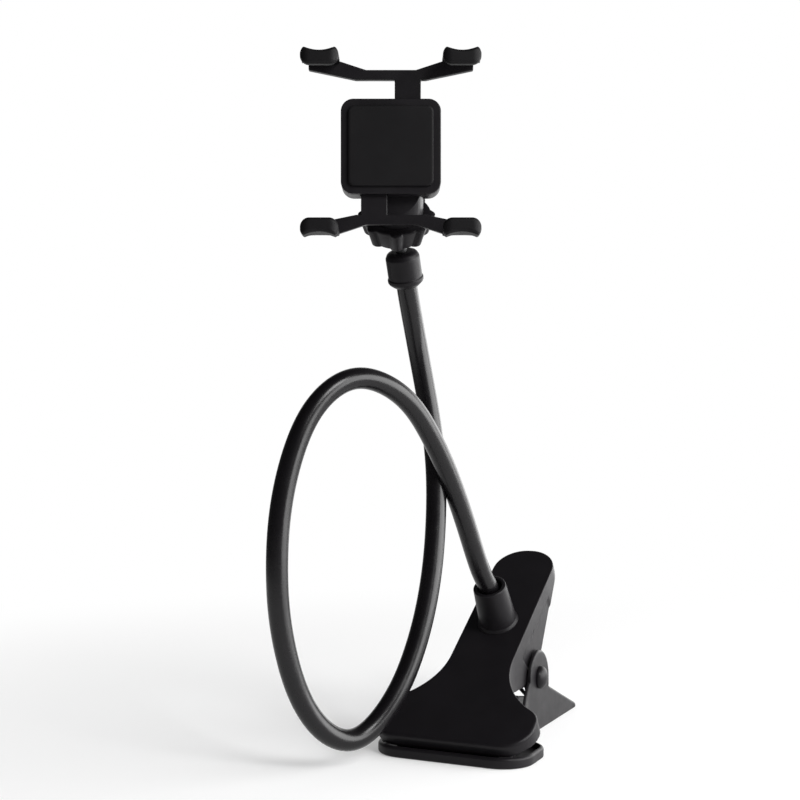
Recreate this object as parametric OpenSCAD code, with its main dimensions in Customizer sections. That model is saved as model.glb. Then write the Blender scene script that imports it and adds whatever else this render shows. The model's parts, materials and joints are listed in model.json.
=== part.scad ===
// Phone holder on a bendable arm, with a spring clip that also serves as its foot.
// Millimetres. The origin is on the table below the hinge pin, +Z is up and the cradle faces -Y.

/* [Clip] */
// Width of the front jaw
jaw_w = 72; // [66:1:84]
// Width of the rear jaw
rear_jaw_w = 69.6; // [62:0.2:84]
// How far the rear jaw stands out in front of the front jaw
jaw_proud = 0.6; // [0:0.1:2]
// Distance from the hinge pin to the front edge of the jaws
jaw_reach = 72; // [66:1:84]
// Height of the hinge pin above the table
pin_h = 24; // [22:0.5:28]
// Height of the front jaw's top edge above the table
front_h = 9.2; // [9:0.1:12]
// Slope of the front half in degrees, with the jaws shut
front_slope = 32.6; // [30:0.2:36]
// Length of the front half along its slope
front_len = 127; // [118:1:140]
// Length of the rear half
rear_len = 129.6; // [115:1:140]
// Width of the front half's handle
handle_w = 29.4; // [28:0.2:34]
// Gap between the front half's cheeks and the rear half's ears
cheek_gap = 0.5; // [0.4:0.1:1.5]
// Thickness of both halves' plates and of the front half's walls
skin_t = 2; // [1.8:0.1:2.6]
// Thickness of the rear half's ears and walls
rear_wall_t = 1.6; // [1.4:0.1:2.4]
// Radius of the front jaw's front corners in plan
front_corner_r = 12.5; // [8:0.5:15]
// Radius of the front jaw's back corners in plan
back_corner_r = 8; // [5:0.5:10]
// Distance from the front edge to the centre of the front jaw's back corners
foot_depth = 15.2; // [15:0.1:18]
// Radius of the round end of the front half's handle
front_end_r = 14; // [8:0.5:14]
// Radius of the rear jaw's front corners in plan
rear_front_corner_r = 14; // [8:0.5:16]
// Radius of the rear jaw's back corners in plan
rear_back_corner_r = 10; // [5:0.5:11]
// Distance from the front edge to the centre of the rear jaw's back corners
rear_foot_depth = 24.5; // [16:0.5:26]
// Radius of the corners on the end of the rear half's handle
rear_end_r = 5.5; // [3:0.5:10]
// Radius of the hollow flare from handle to jaw
flare_r = 32.5; // [28:0.5:40]
// Depth of the rim round both halves
rim_d = 4.6; // [3.5:0.1:5.5]
// Depth of the front half's rim beside the jaw
side_rim_d = 8; // [5.5:0.5:10]
// Height of the wall inside the rear half, in front of the spring
cross_h = 20; // [12:0.5:21]
// Distance from that wall to the hinge pin
cross_ahead = 26; // [25:0.5:30]
// Depth of the step moulded in the cheeks
cheek_step = 0.3; // [0.2:0.05:0.5]
// Radius of the rear half's ears about the pin
ear_r = 12.4; // [10:0.2:13]
// Radius of the front half's cheeks about the pin
cheek_r = 9.5; // [8:0.5:11]
// Turn of the clip under the arm, in degrees
clip_turn = 25; // [0:1:60]

/* [Hinge] */
// Radius of the hinge pin
pin_r = 2.5; // [2:0.1:3]
// Radius of the domed caps on the pin
cap_r = 5.1; // [4:0.1:6]
// Height of the domed caps
cap_h = 3.5; // [2.6:0.1:4]
// Length of pin inside each cap
pin_end = 1.4; // [1:0.1:1.6]
// Radius of the spring's coil to the middle of its wire
coil_r = 5; // [4.5:0.1:6]
// Radius of the spring's wire
coil_wire_r = 1.1; // [0.8:0.1:1.3]
// Width of the spring's coil along the pin
coil_w = 15; // [13:0.5:18]
// Turns in the spring's coil
coil_turns = 6; // [4:1:6]
// Distance from the pin to where the upper spring leg presses
leg_reach = 42; // [34:1:46]

/* [Jaw pads] */
// Width of the rubber pads
pad_w = 54; // [40:1:56]
// Front edge of the pads, from the front edge of the jaws
pad_front = 4; // [3.5:0.5:5]
// Depth of the pads from front to back
pad_d = 11; // [9:0.5:12]
// Thickness of the pads without their ribs
pad_t = 1.6; // [1.2:0.1:2]
// Height of the ribs on the pads
pad_rib = 0.6; // [0.4:0.1:0.8]

/* [Arm socket] */
// Distance of the socket from the front edge, along the slope
boss_at = 75; // [72:0.5:80]
// Height of the socket above the front half
boss_h = 20.5; // [18:0.5:26]
// Outer radius of the socket at its foot
boss_foot_r = 8.6; // [8:0.1:9.5]
// Outer radius of the socket at its mouth
boss_mouth_r = 7.4; // [6.9:0.1:8]
// Depth of the socket below the front half's face
boss_below = 7; // [6:0.5:9]
// Radius of the plug on the arm's end
plug_r = 5.4; // [5:0.1:5.6]
// How far the plug's end lies inside the socket's mouth
plug_sunk = 8.5; // [6:0.5:10]
// Thickness of the socket's floor
floor_t = 2; // [1.5:0.1:3]
// Radius of the plug's screw
plug_screw_r = 1.5; // [1.2:0.1:1.8]
// Radius of the screw's head
plug_head_r = 2.9; // [2.5:0.1:3.5]
// Length of the screw inside the plug
plug_screw_len = 7; // [5:0.5:8]

/* [Arm] */
// Radius of the arm's sleeve
tube_r = 4.4; // [4.1:0.1:4.8]
// Radius of the arm's metal core
core_r = 2.7; // [2.2:0.1:3]
// Size of the arm's loop, as a factor
loop_k = 1; // [0.9:0.01:1.1]
// Length of the cap on the arm's upper end
top_cap_len = 15.4; // [13:0.1:18]
// Radius of that cap
top_cap_r = 7.2; // [6.6:0.1:7.6]
// How far the arm goes into that cap
cap_grip = 9.2; // [7:0.1:10]

/* [Ball joint] */
// Radius of the ball
ball_r = 6.5; // [6:0.1:6.8]
// Radius of the stud that carries the ball
stud_r = 2.4; // [2:0.1:2.6]
// Distance from the arm cap's top to the ball's centre
ball_reach = 15; // [14.5:0.5:18]
// Thickness of the liner round the ball
liner_t = 1.35; // [1.2:0.05:1.5]
// Outer radius of the cradle's neck
neck_r = 11; // [10.6:0.1:11.6]
// Lean of the neck from upright, in degrees
neck_lean = 45; // [40:1:50]
// Wall of the lock nut at its narrow end
nut_wall = 0.9; // [0.8:0.1:1.6]
// Length of the lock nut
nut_len = 10; // [9.5:0.5:11]
// How far the lock nut reaches over the neck
nut_over = 2; // [1.5:0.1:3]
// How much the lock nut widens per millimetre of length
nut_flare = 0.3; // [0.2:0.01:0.4]
// Radius of the lobes on the lock nut
lobe_r = 2; // [1.6:0.1:3]
// How far the lobes stand out of the lock nut
lobe_out = 1.6; // [0.8:0.1:2]
// Lobes on the lock nut
lobe_count = 8; // [6:1:10]

/* [Cradle] */
// Opening between the upper and lower claws
grip_gap = 67; // [58:0.5:72]
// Spacing of the claws from side to side
claw_spacing = 56; // [52:0.5:64]
// Height of the cradle's middle above the ball
cradle_up = 25.4; // [24:0.2:28]
// How far the cradle's middle lies to the left of the ball
cradle_side = 2.2; // [0:0.1:3]
// Distance of the phone's back in front of the ball
cradle_ahead = 23; // [22.5:0.1:25]
// Width of the housing
housing_w = 40; // [38:0.5:44]
// Height of the housing
housing_h = 38; // [36:0.5:39]
// Depth of the rear housing
housing_d = 12; // [11.5:0.1:13]
// Radius of the housing's corners
housing_corner_r = 5; // [3:0.5:6]
// Wall of the housing
housing_wall = 2; // [1.5:0.1:2.4]
// Thickness of the front cover
cover_t = 2; // [1.5:0.1:2.5]
// Thickness of the soft pad on the cover
front_pad_t = 1.5; // [1:0.1:2.5]
// Margin of the soft pad inside the cover's edge
front_pad_edge = 3; // [2:0.5:5]
// Radius of the housing screws
case_screw_r = 1.15; // [1:0.05:1.3]

/* [Claws] */
// Thickness of the slides
slide_t = 3; // [2.5:0.1:3.2]
// Length of tongue past the housing's middle, with the claws as they stand
tongue_past = 8; // [6:0.5:9]
// Width of a claw
claw_w = 14.8; // [13:0.1:17]
// Wall of a claw beyond the phone's edge, at its middle
claw_wall = 2; // [1.9:0.1:3.5]
// How much higher a claw stands at its two sides than in its middle
claw_saddle = 1.3; // [0.8:0.1:1.6]
// Room between the pad and the claws' lips
phone_room = 7.3; // [7:0.1:9]
// Thickness of the lips
lip_t = 4.2; // [4:0.1:5]
// How far the lips reach over the phone
lip_reach = 3.4; // [2.8:0.1:5]
// Radius of the lips' corners
lip_corner_r = 3.2; // [2:0.1:4]
// Radius of the slide springs to the middle of their wire
spring_r = 2.3; // [2:0.1:2.4]
// Radius of the slide springs' wire
spring_wire_r = 0.3; // [0.25:0.05:0.4]
// Turns in each slide spring
spring_turns = 10; // [8:1:12]

/* [Hidden] */
$fn = 64;

// Clearance of a running fit on the radius, of a seated piece, and of a sliding piece
run_gap = 0.05;
seat_gap = 0.1;
slide_gap = 0.4;
// A cut runs this far past the face it opens
past = 1;

// Clip
handle_half = handle_w / 2;
jaw_half = jaw_w / 2;
rear_handle_half = handle_half + cheek_gap + rear_wall_t;
rear_front = jaw_reach + jaw_proud;
front_skin = [0, -jaw_reach, front_h];
// The pin's place on the front half: along the slope, and square to it
pin_along = jaw_reach * cos(front_slope) + (pin_h - front_h) * sin(front_slope);
pin_below = (pin_h - front_h) * cos(front_slope) - jaw_reach * sin(front_slope);

// Arm
plug_top = boss_h - plug_sunk;
plug_foot = floor_t - boss_below;
socket_axis = to_row([0, -sin(front_slope), cos(front_slope)]);
mouth = to_row(front_point(boss_at, boss_h));
// The arm's way from the socket's mouth, up, round its loop and up to the cradle
LOOP = [[-4.5, -5, 8], [-11, -14.5, 28.5], [-18.5, -24.5, 49.5], [-26, -33.5, 66],
    [-34, -42, 79.5], [-43.5, -50, 88], [-54.5, -57.5, 92], [-65, -64, 89],
    [-75, -69.5, 78.5], [-82, -73.5, 62], [-86.5, -76, 42], [-88, -77, 22],
    [-87.5, -76.5, 1.5], [-84.5, -74.5, -17.5], [-79.5, -71, -34.5], [-71.5, -66, -48],
    [-61.5, -59.5, -54.5], [-52, -53, -51.5], [-42, -46.5, -39.5], [-35, -40, -25],
    [-29.5, -34, -7], [-26, -28.5, 13], [-24.5, -24, 33.5], [-24.5, -21, 53.5],
    [-26.5, -19.5, 73], [-30, -19.5, 93], [-33.4, -22.5, 111.5], [-36.3, -30.5, 126.5],
    [-38.4, -37, 140]];
route = concat([mouth - plug_sunk * socket_axis, mouth - socket_axis],
    [for (p = LOOP) mouth + loop_k * p]);
last = len(route) - 1;
arm_end = route[last];
arm_up = unit(route[last] - route[last - 1]);
arm_line = smooth_line(route, 3);
tube_sides = 12;

// Ball joint
ball_at = arm_end + arm_up * (top_cap_len - cap_grip + ball_reach);
neck_up = [0, -sin(neck_lean), cos(neck_lean)];
liner_in = ball_r + run_gap;
liner_out = liner_in + liner_t;
seat_r = liner_out + run_gap;
ring_len = 4.9;
ring_r = neck_r - 0.2;
nut_bore_r = neck_r + run_gap;
nut_step = ring_len + 0.6;
nut_back = nut_len - nut_over;
nut_mouth_r = liner_out + 0.3;

// Cradle: x to the side, y behind the phone's back and z above the middle of the grip
cradle_at = ball_at + [-cradle_side, -cradle_ahead, cradle_up];
cover_at = front_pad_t;
case_at = cover_at + cover_t + run_gap;
slide_at = case_at + 0.5;
slide_back = slide_at + slide_t;
case_back = case_at + housing_d;
half_w = housing_w / 2;
half_h = housing_h / 2;
half_gap = grip_gap / 2;
claw_x = claw_spacing / 2;
case_boss_r = 2.6;
case_screw_x = half_w - housing_wall - case_boss_r - slide_gap;
case_screw_z = half_h - housing_wall - case_boss_r - slide_gap;
tongue_in = 1.5;
tongue_w = case_screw_x - case_boss_r - slide_gap - tongue_in;
spring_x = tongue_in + tongue_w / 2;
spring_y = slide_back + spring_r + spring_wire_r + 0.4;
bar_low = half_h + 8;
bar_high = bar_low + 4;
foot_t = 2.5;
finger_t = 0.9;
finger_w = 10;
finger_low = half_gap + 0.55;
lip_front = phone_room + lip_t;

// Functions
function unit(v) = v / norm(v);
function to_row(p) = [p[0] * cos(clip_turn) + p[1] * sin(clip_turn),
    p[1] * cos(clip_turn) - p[0] * sin(clip_turn), p[2]];
function front_point(along, out) = front_skin
    + along * [0, cos(front_slope), sin(front_slope)]
    + out * [0, -sin(front_slope), cos(front_slope)];
// A smooth curve of cubic pieces that passes by the points, with steps rings for each piece
function pull(p, i) = i < 2 || i > len(p) - 3 ? p[i]
    : p[i] - (p[i - 1] - 2 * p[i] + p[i + 1]) / 6;
function controls(p) = let (n = len(p) - 1)
    concat([2 * p[0] - p[1]], [for (i = [0:n]) pull(p, i)], [2 * p[n] - p[n - 1]]);
function cubic(a, b, c, d, t) = (pow(1 - t, 3) * a + (3 * pow(t, 3) - 6 * t * t + 4) * b
    + (3 * t + 3 * t * t - 3 * pow(t, 3) + 1) * c + pow(t, 3) * d) / 6;
function smooth_line(p, steps) = let (c = controls(p)) concat(
    [for (i = [0:len(p) - 2]) for (k = [0:steps - 1])
        cubic(c[i], c[i + 1], c[i + 2], c[i + 3], k / steps)],
    [p[len(p) - 1]]);
function heading(line, i) = i == 0 ? unit(line[1] - line[0])
    : i == len(line) - 1 ? unit(line[i] - line[i - 1])
    : unit(line[i + 1] - line[i - 1]);
// A ring of points round a line, square to it
function ring(line, i, r, sides, ref) = let (
        t = heading(line, i), u = unit(cross(t, ref)), v = cross(u, t))
    [for (k = [0:sides - 1]) line[i] + r * (cos(360 * k / sides) * u + sin(360 * k / sides) * v)];

// Shapes
module bar(line, r, sides, ref) {
    n = len(line) - 1;
    points = [for (i = [0:n]) each ring(line, i, r, sides, ref)];
    walls = [for (i = [0:n - 1]) for (k = [0:sides - 1]) let (j = (k + 1) % sides)
        [i * sides + k, (i + 1) * sides + k, (i + 1) * sides + j, i * sides + j]];
    ends = [[for (k = [0:sides - 1]) k], [for (k = [0:sides - 1]) n * sides + sides - 1 - k]];
    polyhedron(points, concat(walls, ends), convexity = 10);
}

module pipe(line, r_out, r_in, sides, ref) {
    n = len(line) - 1;
    half = (n + 1) * sides;
    points = concat([for (i = [0:n]) each ring(line, i, r_out, sides, ref)],
        [for (i = [0:n]) each ring(line, i, r_in, sides, ref)]);
    walls = [for (i = [0:n - 1]) for (k = [0:sides - 1]) let (j = (k + 1) % sides)
        each [[i * sides + k, (i + 1) * sides + k, (i + 1) * sides + j, i * sides + j],
            [half + i * sides + j, half + (i + 1) * sides + j,
                half + (i + 1) * sides + k, half + i * sides + k]]];
    ends = [for (k = [0:sides - 1]) let (j = (k + 1) % sides)
        each [[k, j, half + j, half + k],
            [n * sides + j, n * sides + k, half + n * sides + k, half + n * sides + j]]];
    polyhedron(points, concat(walls, ends), convexity = 10);
}

// Places
module clip_place() {
    rotate([0, 0, -clip_turn]) children();
}

module front_place() {
    clip_place() translate(front_skin) rotate([front_slope, 0, 0]) children();
}

module rear_place() {
    clip_place() translate([0, -rear_front, 0]) children();
}

module pin_place() {
    clip_place() translate([0, 0, pin_h]) rotate([0, 90, 0]) children();
}

module cap_place() {
    tilt = acos(arm_up[2]);
    heading_z = atan2(arm_up[1], arm_up[0]);
    translate(arm_end) rotate([0, tilt, heading_z]) children();
}

module ball_place() {
    translate(ball_at) rotate([neck_lean, 0, 0]) children();
}

module cradle_place() {
    translate(cradle_at) children();
}

// A shape drawn in y and z, stretched from side to side
module across(w) {
    rotate([90, 0, 90]) translate([0, 0, -w / 2]) linear_extrude(w) children();
}

// A shape drawn in x and z, stretched backwards from y
module backwards(y, d) {
    translate([0, y + d, 0]) rotate([90, 0, 0]) linear_extrude(d) children();
}

// Plan of a clip half: a wide foot that flares into a handle with round corners
module clip_plan(half, neck, length, front_r, back_r, depth, end_r, inset) {
    flare_x = neck + flare_r;
    corner_x = half - back_r;
    reach = sqrt(pow(flare_r + back_r, 2) - pow(flare_x - corner_x, 2));
    meet_x = corner_x + (back_r - inset) * (flare_x - corner_x) / (flare_r + back_r);
    translate([inset - neck, depth]) square([2 * (neck - inset), length - end_r - depth]);
    translate([end_r - neck, depth]) square([2 * (neck - end_r), length - inset - depth]);
    for (side = [-1, 1]) {
        translate([side * (neck - end_r), length - end_r]) circle(end_r - inset);
        translate([side * (half - front_r), front_r]) circle(front_r - inset);
        translate([side * corner_x, depth]) circle(back_r - inset);
    }
    translate([inset - half, front_r]) square([2 * (half - inset), depth - front_r]);
    translate([front_r - half, inset]) square([2 * (half - front_r), depth - inset]);
    difference() {
        translate([-meet_x, depth]) square([2 * meet_x, reach]);
        for (side = [-1, 1]) translate([side * flare_x, depth + reach]) circle(flare_r + inset);
    }
}

module front_plan(inset) {
    clip_plan(jaw_half, handle_half, front_len, front_corner_r, back_corner_r, foot_depth,
        front_end_r, inset);
}

module rear_plan(inset) {
    clip_plan(rear_jaw_w / 2, rear_handle_half, rear_len, rear_front_corner_r,
        rear_back_corner_r, rear_foot_depth, rear_end_r, inset);
}

// Clip pieces
module clip_rear_jaw() {
    pin_y = rear_front;
    color("#1d1c1e") rear_place() difference() {
        union() {
            linear_extrude(skin_t) rear_plan(0);
            intersection() {
                linear_extrude(pin_h + ear_r) difference() {
                    rear_plan(0);
                    rear_plan(rear_wall_t);
                }
                across(jaw_w * 2) {
                    polygon([[-past, 0], [-past, rim_d], [pin_y - 30, rim_d],
                        [pin_y - ear_r, pin_h], [pin_y, pin_h], [pin_y + ear_r - 0.5, pin_h - 5.6],
                        [rear_len - 4, skin_t + 0.3], [rear_len + past, skin_t + 0.3],
                        [rear_len + past, 0]]);
                    translate([pin_y, pin_h]) circle(ear_r);
                }
            }
            translate([rear_wall_t / 2 - rear_handle_half, pin_y - cross_ahead, skin_t / 2])
                cube([2 * rear_handle_half - rear_wall_t, skin_t, cross_h - skin_t / 2]);
        }
        translate([-jaw_w, pin_y, pin_h]) rotate([0, 90, 0]) cylinder(r = pin_r + run_gap, h = 2 * jaw_w);
    }
}

module clip_front_jaw() {
    color("#1d1c1e") front_place() difference() {
        union() {
            translate([0, 0, -skin_t]) linear_extrude(skin_t) front_plan(0);
            intersection() {
                translate([0, 0, pin_below - cheek_r]) linear_extrude(cheek_r - pin_below)
                    difference() {
                        front_plan(0);
                        front_plan(skin_t);
                    }
                across(jaw_w * 2) {
                    polygon([[-past, past], [-past, -rim_d], [foot_depth, -side_rim_d],
                        [pin_along - 30, -side_rim_d], [pin_along - 23, pin_below + 12.4],
                        [pin_along - 8.4, pin_below + 2.5], [pin_along, pin_below],
                        [pin_along + 14.8, pin_below + 3.8], [front_len - 8, -rim_d],
                        [front_len + past, -rim_d], [front_len + past, past]]);
                    translate([pin_along, pin_below]) circle(cheek_r);
                }
            }
            translate([0, boss_at, 0]) {
                cylinder(r1 = boss_foot_r, r2 = boss_mouth_r, h = boss_h);
                cylinder(r = boss_foot_r + 0.6, h = 1);
                translate([0, 0, -boss_below]) cylinder(r = boss_foot_r, h = boss_below);
            }
        }
        translate([0, boss_at, plug_foot]) cylinder(r = plug_r + seat_gap, h = boss_h + boss_below);
        translate([0, boss_at, -boss_below - past])
            cylinder(r = plug_screw_r + seat_gap, h = floor_t + 2 * past);
        translate([-jaw_w, pin_along, pin_below]) rotate([0, 90, 0])
            cylinder(r = pin_r + run_gap, h = 2 * jaw_w);
        for (side = [-1, 1]) translate([side * handle_half, pin_along, pin_below])
            across(2 * cheek_step)
                polygon([[-7.6, 18.6], [34, 18.6], [34, -cheek_r - past], [0, -cheek_r - past], [-3, 5]]);
    }
}

module hinge_pin() {
    half = rear_handle_half + pin_end;
    color("#8c8d90") pin_place() translate([0, 0, -half]) cylinder(r = pin_r, h = 2 * half);
}

module pin_cap(side) {
    dome_r = (cap_r * cap_r + cap_h * cap_h) / (2 * cap_h);
    color("#242326") clip_place() translate([side * rear_handle_half, 0, pin_h])
        rotate([0, side * 90, 0]) difference() {
            intersection() {
                translate([0, 0, cap_h - dome_r]) sphere(dome_r);
                cylinder(r = cap_r + past, h = cap_h + past);
            }
            translate([0, 0, -past]) cylinder(r = pin_r + run_gap, h = pin_end + past + 0.1);
        }
}

module pin_cap_left() {
    pin_cap(-1);
}

module pin_cap_right() {
    pin_cap(1);
}

module torsion_spring() {
    // The upper leg presses on the front half's handle, the lower leg on the rear half's floor
    leg_gap = coil_wire_r + 0.3;
    tip_below = -skin_t - leg_gap;
    tip_along = pin_along + sqrt(leg_reach * leg_reach - pow(tip_below - pin_below, 2));
    tip = front_point(tip_along, tip_below) - [0, 0, pin_h];
    leg = sqrt(pow(norm(tip), 2) - coil_r * coil_r);
    upper = atan2(tip[2], tip[1]) - atan2(coil_r, leg) + 90;
    lower = -120 + 360 * coil_turns;
    foot_y = coil_r * cos(lower) - (coil_r * sin(lower) + pin_h - skin_t - leg_gap) / tan(lower + 90);
    turns = [for (i = [0:12 * coil_turns]) let (k = i / (12 * coil_turns),
            a = upper + (lower - upper) * k)
        [coil_w * (k - 0.5), coil_r * cos(a), coil_r * sin(a)]];
    foot = [coil_w / 2 + 0.1, foot_y, skin_t + leg_gap - pin_h];
    line = concat([[-coil_w / 2 - 0.1, tip[1], tip[2]]], turns, [foot]);
    color("#6f7074") clip_place() translate([0, 0, pin_h]) bar(line, coil_wire_r, 8, [1, 0, 0]);
}

module jaw_pad() {
    ribs = floor(pad_d / 2.2);
    translate([-pad_w / 2 + 3, pad_front, 0]) cube([pad_w - 6, pad_d, pad_t]);
    for (side = [-1, 1]) translate([side * (pad_w / 2 - 3), pad_front, 0]) {
        translate([-3, 3, 0]) cube([6, pad_d - 6, pad_t]);
        for (y = [3, pad_d - 3]) translate([0, y, 0]) cylinder(r = 3, h = pad_t);
    }
    for (i = [0:ribs - 1])
        translate([4 - pad_w / 2, pad_front + 0.6 + i * (pad_d - 2.2) / (ribs - 1), pad_t / 2])
            cube([pad_w - 8, 1, pad_t / 2 + pad_rib]);
}

module front_jaw_pad() {
    color("#2b2a2c") front_place() translate([0, 0, -skin_t]) mirror([0, 0, 1]) jaw_pad();
}

module rear_jaw_pad() {
    color("#2b2a2c") rear_place() translate([0, 0, skin_t]) jaw_pad();
}

// Arm pieces
module arm_base_plug() {
    core_end = plug_foot + plug_screw_len + 1;
    color("#8c8d90") front_place() translate([0, boss_at, 0]) difference() {
        translate([0, 0, plug_foot]) cylinder(r = plug_r, h = plug_top - plug_foot);
        translate([0, 0, core_end]) cylinder(r = core_r + seat_gap, h = plug_top);
        translate([0, 0, plug_foot - past]) cylinder(r = plug_screw_r + run_gap, h = plug_screw_len + past);
    }
}

module arm_socket_screw() {
    color("#77787b") front_place() translate([0, boss_at, -boss_below]) {
        cylinder(r = plug_screw_r, h = floor_t + plug_screw_len);
        difference() {
            translate([0, 0, -2]) cylinder(r = plug_head_r, h = 2);
            for (a = [0, 90]) rotate([0, 0, a]) translate([-1.6, -0.35, -2 - past]) cube([3.2, 0.7, 1.2 + past]);
        }
    }
}

module gooseneck_core() {
    core_end = plug_foot + plug_screw_len + 1.2;
    start = to_row(front_point(boss_at, core_end));
    color("#9a9b9e") bar(concat([start], arm_line), core_r, 8, [0, 1, 0]);
}

module gooseneck_sleeve() {
    color("#1a191b") pipe(arm_line, tube_r, core_r + 0.3, tube_sides, [0, 1, 0]);
}

module arm_top_cap() {
    web_top = top_cap_len - cap_grip;
    color("#1f1e20") cap_place() difference() {
        rotate_extrude() polygon([[0, -cap_grip], [tube_r + 0.7, -cap_grip],
            [top_cap_r, 1.6 - cap_grip], [top_cap_r + 0.4, 2.2 - cap_grip],
            [top_cap_r + 0.4, 3.4 - cap_grip], [top_cap_r, 4 - cap_grip],
            [top_cap_r, web_top - 3], [top_cap_r - 0.4, web_top - 1.7],
            [top_cap_r - 1.4, web_top - 0.7], [top_cap_r - 2.9, web_top - 0.1], [0, web_top]]);
        translate([0, 0, -cap_grip - past]) cylinder(r = tube_r + seat_gap, h = cap_grip + past);
        cylinder(r = stud_r + run_gap, h = web_top + past);
    }
}

module ball_stud() {
    web_top = top_cap_len - cap_grip;
    color("#9a9b9e") cap_place() translate([0, 0, 0.2]) {
        cylinder(r = stud_r, h = web_top + ball_reach - 0.2);
        translate([0, 0, web_top + ball_reach - 0.2]) sphere(ball_r);
    }
}

// Ball joint pieces, drawn along the neck with the ball's centre at zero
module socket_liner() {
    wide = 2 * liner_out;
    color("#cfcac0") ball_place() rotate_extrude() difference() {
        circle(liner_out);
        circle(liner_in);
        translate([-wide, -wide]) square([wide, 2 * wide]);
        polygon([[0, 0], [wide * sin(30), wide * cos(30)], [0, 2 * wide]]);
        polygon([[0, 0], [wide * sin(55), -wide * cos(55)], [0, -2 * wide]]);
    }
}

module pressure_ring() {
    color("#3a393c") ball_place() rotate_extrude() difference() {
        translate([0, -ring_len - 0.3]) square([ring_r, ring_len]);
        circle(seat_r);
    }
}

module lock_nut() {
    rear_r = nut_bore_r + nut_wall - 0.3;
    front_r = rear_r + nut_flare * nut_len;
    lobe_at = rear_r - lobe_r + lobe_out;
    color("#1f1e20") ball_place() difference() {
        intersection() {
            translate([0, 0, -nut_back]) union() {
                cylinder(r1 = rear_r, r2 = front_r, h = nut_len);
                for (i = [0:lobe_count - 1]) rotate([0, 0, 360 * i / lobe_count])
                    translate([lobe_at, 0, -2]) rotate([0, atan(nut_flare), 0])
                        cylinder(r = lobe_r, h = nut_len + 8);
            }
            translate([0, 0, -nut_back]) cylinder(r = front_r + 2 * lobe_r, h = nut_len);
        }
        translate([0, 0, -nut_step]) cylinder(r = nut_bore_r, h = nut_step + nut_over + past);
        translate([0, 0, -nut_back - past]) cylinder(r = nut_mouth_r, h = nut_back + past);
    }
}

// Cradle pieces
module case_plan(inset) {
    r = housing_corner_r - inset;
    square([housing_w - 2 * housing_corner_r, housing_h - 2 * inset], center = true);
    square([housing_w - 2 * inset, housing_h - 2 * housing_corner_r], center = true);
    for (x = [-1, 1], z = [-1, 1])
        translate([x * (half_w - housing_corner_r), z * (half_h - housing_corner_r)]) circle(r);
}

module case_corners(y) {
    for (x = [-1, 1], z = [-1, 1]) translate([x * case_screw_x, y, z * case_screw_z]) rotate([-90, 0, 0]) children();
}

module tongue_slot() {
    translate([tongue_in - slide_gap, case_at - past, half_h - housing_wall - past])
        cube([tongue_w + 2 * slide_gap, slide_back + slide_gap - case_at + past, housing_wall + 2 * past]);
}

module cradle_rear_housing() {
    neck_front = slide_back + 1.5 - cradle_ahead;
    color("#1c1b1d") difference() {
        union() {
            cradle_place() backwards(case_at, housing_d) case_plan(0);
            intersection() {
                ball_place() cylinder(r = neck_r, h = 24);
                translate(ball_at + [-20, neck_front, -20]) cube([40, 40, 60]);
            }
        }
        cradle_place() {
            difference() {
                backwards(case_at - past, housing_d - housing_wall + past) case_plan(housing_wall);
                case_corners(case_back - housing_wall - 1.5) cylinder(r = case_boss_r, h = 2);
            }
            case_corners(case_at - past) cylinder(r = case_screw_r + 0.25, h = housing_d + 2 * past);
            case_corners(case_back - 1) cylinder(r = 2.4, h = past + 1);
            tongue_slot();
            rotate([0, 180, 0]) tongue_slot();
        }
        ball_place() sphere(seat_r);
    }
}

module cradle_front_cover() {
    boss_len = housing_d - housing_wall - 1.6;
    color("#1c1b1d") cradle_place() difference() {
        union() {
            backwards(cover_at, cover_t) case_plan(0);
            case_corners(cover_at + cover_t / 2) cylinder(r = case_boss_r - 0.4, h = boss_len + cover_t / 2);
        }
        case_corners(case_at) cylinder(r = case_screw_r + run_gap, h = boss_len + past);
    }
}

module cradle_front_pad() {
    color("#2b2a2c") cradle_place() backwards(0, front_pad_t) case_plan(front_pad_edge);
}

module housing_screws() {
    color("#77787b") cradle_place() case_corners(case_back - 1) {
        translate([0, 0, 1 - housing_d + 3]) cylinder(r = case_screw_r, h = housing_d - 3.5);
        difference() {
            cylinder(r = 2.2, h = 0.9);
            for (a = [0, 90]) rotate([0, 0, a]) translate([-1.3, -0.3, 0.4]) cube([2.6, 0.6, 1]);
        }
    }
}

module slide() {
    wing = claw_x + finger_w / 2;
    top = finger_low + finger_t;
    color("#1c1b1d") cradle_place() {
        backwards(slide_at, slide_t) {
            translate([tongue_in, -tongue_past]) square([tongue_w, bar_low + tongue_past + 1]);
            polygon([[-14, bar_low], [14, bar_low], [wing, top - 4], [wing, top],
                [wing - finger_w - 1, top], [10, bar_high], [-10, bar_high],
                [finger_w + 1 - wing, top], [-wing, top], [-wing, top - 4]]);
        }
        translate([tongue_in + 1, slide_back - 0.5, -tongue_past])
            cube([tongue_w - 2, 2 * (spring_y - slide_back) - 0.4, foot_t]);
        for (side = [-1, 1]) translate([side * claw_x - finger_w / 2, -lip_front + 1.4, 0]) {
            translate([0, 0, finger_low]) cube([finger_w, lip_front - 1.4 + slide_at + 0.5, finger_t]);
            translate([0, 0, half_gap - lip_reach + 1.5])
                cube([finger_w, lip_t - 2.8, finger_low - half_gap + lip_reach - 1.5 + finger_t]);
        }
    }
}

module upper_slide() {
    slide();
}

module turn_over() {
    translate(cradle_at) rotate([0, 180, 0]) translate(-cradle_at) children();
}

module lower_slide() {
    turn_over() slide();
}

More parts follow.
